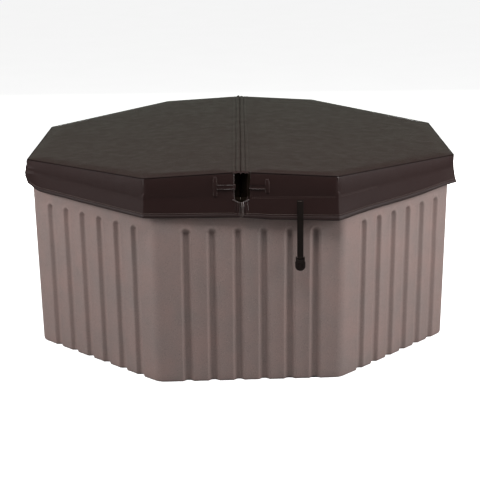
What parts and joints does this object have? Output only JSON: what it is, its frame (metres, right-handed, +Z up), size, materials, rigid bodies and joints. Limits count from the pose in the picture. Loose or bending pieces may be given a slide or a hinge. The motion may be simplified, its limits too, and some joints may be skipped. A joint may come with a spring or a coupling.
{
  "type": "rigid octagonal hot tub with folding cover",
  "caption": "Octagonal rotomoulded hot tub with grooved walls, stepped seating, jets and equipment, closed by a two-piece folding insulated vinyl cover with buckle straps.",
  "frame": {"origin": "centre of the footprint, on the floor", "axes": "+Z up; the front, with one tie-down strap beside the fold, faces -Y; the cover folds about the Y direction"},
  "size_m": [1.8816, 1.8816, 0.8893],
  "materials": {
    "cabinet_plastic": "speckled rotomoulded texture",
    "basin_plastic": "fine moulded texture",
    "pan_plastic": "satin",
    "black_plastic": "satin",
    "grey_plastic": "satin",
    "white_pipe": "satin",
    "gloss_trim": "polished",
    "lens": "frosted",
    "filter_media": "pleated",
    "steel": "brushed",
    "pump_paint": "semi-gloss",
    "vinyl": "grained marine vinyl",
    "liner_cloth": "woven",
    "foam": "beaded",
    "webbing": "woven webbing",
    "buckle_plastic": "satin"
  },
  "bodies": {
    "tub": {"cabinet_shell": "cabinet_plastic", "basin_shell": "basin_plastic", "rim_screws": "steel", "base_pan": "pan_plastic", "cord_gland": "black_plastic", "drain_body": "grey_plastic", "jet_bodies": "white_pipe", "mini_jet_faces": "gloss_trim", "suction_covers": "grey_plastic", "light_lens": "lens", "filter_canister": "grey_plastic", "filter_cartridge": "filter_media", "valve_bodies": "white_pipe", "topside_panel": "black_plastic", "pump_volute": "black_plastic", "pump_motor": "pump_paint", "pump_mount": "black_plastic", "heater_housing": "steel", "control_box": "grey_plastic", "plumbing_pipes": "white_pipe", "jet_manifold": "white_pipe"},
    "cover_right": {"right_foam_core": "foam", "right_stiffener": "steel", "right_jacket": "vinyl", "right_liner": "liner_cloth", "right_skirt": "vinyl", "right_handles": "vinyl", "hinge_strip": "vinyl"},
    "cover_left": {"left_foam_core": "foam", "left_stiffener": "steel", "left_jacket": "vinyl", "left_liner": "liner_cloth", "left_skirt": "vinyl", "left_handles": "vinyl"},
    "pump_rotor": {"pump_shaft": "steel", "pump_impeller": "grey_plastic"},
    "door": {"access_door": "cabinet_plastic"},
    "left_screw": {"door_screw_left": "black_plastic"},
    "right_screw": {"door_screw_right": "black_plastic"},
    "drain_plug": {"drain_cap": "black_plastic"},
    "lid": {"filter_lid": "basin_plastic"},
    "weir": {"weir_flap": "grey_plastic"},
    "diverter": {"diverter_knob": "gloss_trim"},
    "air_left": {"air_knob_left": "gloss_trim"},
    "air_front": {"air_knob_front": "gloss_trim"},
    "button_jets": {"jets_button": "grey_plastic"},
    "button_warmer": {"warmer_button": "grey_plastic"},
    "button_light": {"light_button": "grey_plastic"},
    "nozzle_1": {"jet_nozzle_1": "gloss_trim"},
    "nozzle_2": {"jet_nozzle_2": "gloss_trim"},
    "nozzle_3": {"jet_nozzle_3": "gloss_trim"},
    "nozzle_4": {"jet_nozzle_4": "gloss_trim"},
    "strap_front": {"front_strap": "webbing"},
    "buckle_front": {"front_buckle": "buckle_plastic"},
    "strap_right": {"right_strap": "webbing"},
    "buckle_right": {"right_buckle": "buckle_plastic"},
    "strap_back": {"back_strap": "webbing"},
    "buckle_back": {"back_buckle": "buckle_plastic"},
    "strap_left": {"left_strap": "webbing"},
    "buckle_left": {"left_buckle": "buckle_plastic"}
  },
  "joints": [
    {"name": "cover_lift", "type": "slide", "parent": "tub", "child": "cover_right", "axis": [0, 0, 1], "range_m": [0, 0.3]},
    {"name": "cover_fold", "type": "hinge", "parent": "cover_right", "child": "cover_left", "pos_m": [0, 0, 0.891], "axis": [0, 1, 0], "range_deg": [0, 186]},
    {"name": "front_strap_swing", "type": "hinge", "parent": "cover_right", "child": "strap_front", "pos_m": [0.234, -0.929, 0.771], "axis": [-1, 0, 0], "range_deg": [0, 150]},
    {"name": "front_buckle_tilt", "type": "hinge", "parent": "strap_front", "child": "buckle_front", "pos_m": [0.234, -0.9363, 0.532], "axis": [-1, 0, 0], "range_deg": [-15, 60]},
    {"name": "right_strap_swing", "type": "hinge", "parent": "cover_right", "child": "strap_right", "pos_m": [0.929, 0.234, 0.771], "axis": [0, -1, 0], "range_deg": [0, 150]},
    {"name": "right_buckle_tilt", "type": "hinge", "parent": "strap_right", "child": "buckle_right", "pos_m": [0.9363, 0.234, 0.532], "axis": [0, -1, 0], "range_deg": [-15, 60]},
    {"name": "back_strap_swing", "type": "hinge", "parent": "cover_left", "child": "strap_back", "pos_m": [-0.234, 0.929, 0.771], "axis": [1, 0, 0], "range_deg": [0, 150]},
    {"name": "back_buckle_tilt", "type": "hinge", "parent": "strap_back", "child": "buckle_back", "pos_m": [-0.234, 0.9363, 0.532], "axis": [1, 0, 0], "range_deg": [-15, 60]},
    {"name": "left_strap_swing", "type": "hinge", "parent": "cover_left", "child": "strap_left", "pos_m": [-0.929, 0.29, 0.771], "axis": [0, 1, 0], "range_deg": [0, 150]},
    {"name": "left_buckle_tilt", "type": "hinge", "parent": "strap_left", "child": "buckle_left", "pos_m": [-0.9363, 0.29, 0.532], "axis": [0, 1, 0], "range_deg": [-15, 60]},
    {"name": "nozzle_1_turn", "type": "hinge", "parent": "tub", "child": "nozzle_1", "pos_m": [0.56561, 0.56561, 0.58175], "axis": [0.6861, 0.6861, -0.2419], "range_deg": [0, 90]},
    {"name": "nozzle_2_turn", "type": "hinge", "parent": "tub", "child": "nozzle_2", "pos_m": [-0.56561, 0.56561, 0.58175], "axis": [-0.6861, 0.6861, -0.2419], "range_deg": [0, 90]},
    {"name": "nozzle_3_turn", "type": "hinge", "parent": "tub", "child": "nozzle_3", "pos_m": [-0.56561, -0.56561, 0.58175], "axis": [-0.6861, -0.6861, -0.2419], "range_deg": [0, 90]},
    {"name": "nozzle_4_turn", "type": "hinge", "parent": "tub", "child": "nozzle_4", "pos_m": [0.56561, -0.56561, 0.58175], "axis": [0.6861, -0.6861, -0.2419], "range_deg": [0, 90]},
    {"name": "diverter_turn", "type": "hinge", "parent": "tub", "child": "diverter", "pos_m": [0.832, 0, 0.745], "axis": [0, 0, 1], "range_deg": [-90, 90]},
    {"name": "air_left_turn", "type": "hinge", "parent": "tub", "child": "air_left", "pos_m": [-0.832, 0, 0.745], "axis": [0, 0, 1], "range_deg": [0, 180]},
    {"name": "air_front_turn", "type": "hinge", "parent": "tub", "child": "air_front", "pos_m": [0, -0.832, 0.745], "axis": [0, 0, 1], "range_deg": [0, 180]},
    {"name": "jets_button_press", "type": "slide", "parent": "tub", "child": "button_jets", "axis": [0, 0, -1], "range_m": [0, 0.0016], "stiffness_N_per_m": 600, "springref_m": -0.0005},
    {"name": "warmer_button_press", "type": "slide", "parent": "tub", "child": "button_warmer", "axis": [0, 0, -1], "range_m": [0, 0.0016], "stiffness_N_per_m": 600, "springref_m": -0.0005},
    {"name": "light_button_press", "type": "slide", "parent": "tub", "child": "button_light", "axis": [0, 0, -1], "range_m": [0, 0.0016], "stiffness_N_per_m": 600, "springref_m": -0.0005},
    {"name": "weir_swing", "type": "hinge", "parent": "tub", "child": "weir", "pos_m": [0.12, 0.624, 0.606], "axis": [-1, 0, 0], "range_deg": [0, 75]},
    {"name": "lid_turn", "type": "hinge", "parent": "tub", "child": "lid", "pos_m": [0.12, 0.7, 0.745], "axis": [0, 0, 1], "range_deg": [0, 60]},
    {"name": "door_pull", "type": "slide", "parent": "tub", "child": "door", "axis": [0, 1, 0], "range_m": [0, 0.25]},
    {"name": "left_screw_turn", "type": "hinge", "parent": "door", "child": "left_screw", "pos_m": [-0.194, 0.905, 0.545], "axis": [0, 1, 0], "range_deg": [0, 90]},
    {"name": "right_screw_turn", "type": "hinge", "parent": "door", "child": "right_screw", "pos_m": [0.194, 0.905, 0.545], "axis": [0, 1, 0], "range_deg": [0, 90]},
    {"name": "drain_cap_turn", "type": "hinge", "parent": "tub", "child": "drain_plug", "pos_m": [0.318, 0.9, 0.07], "axis": [0, 1, 0], "continuous": true},
    {"name": "pump_spin", "type": "hinge", "parent": "tub", "child": "pump_rotor", "pos_m": [0, 0.65, 0.12], "axis": [1, 0, 0], "continuous": true}
  ]
}
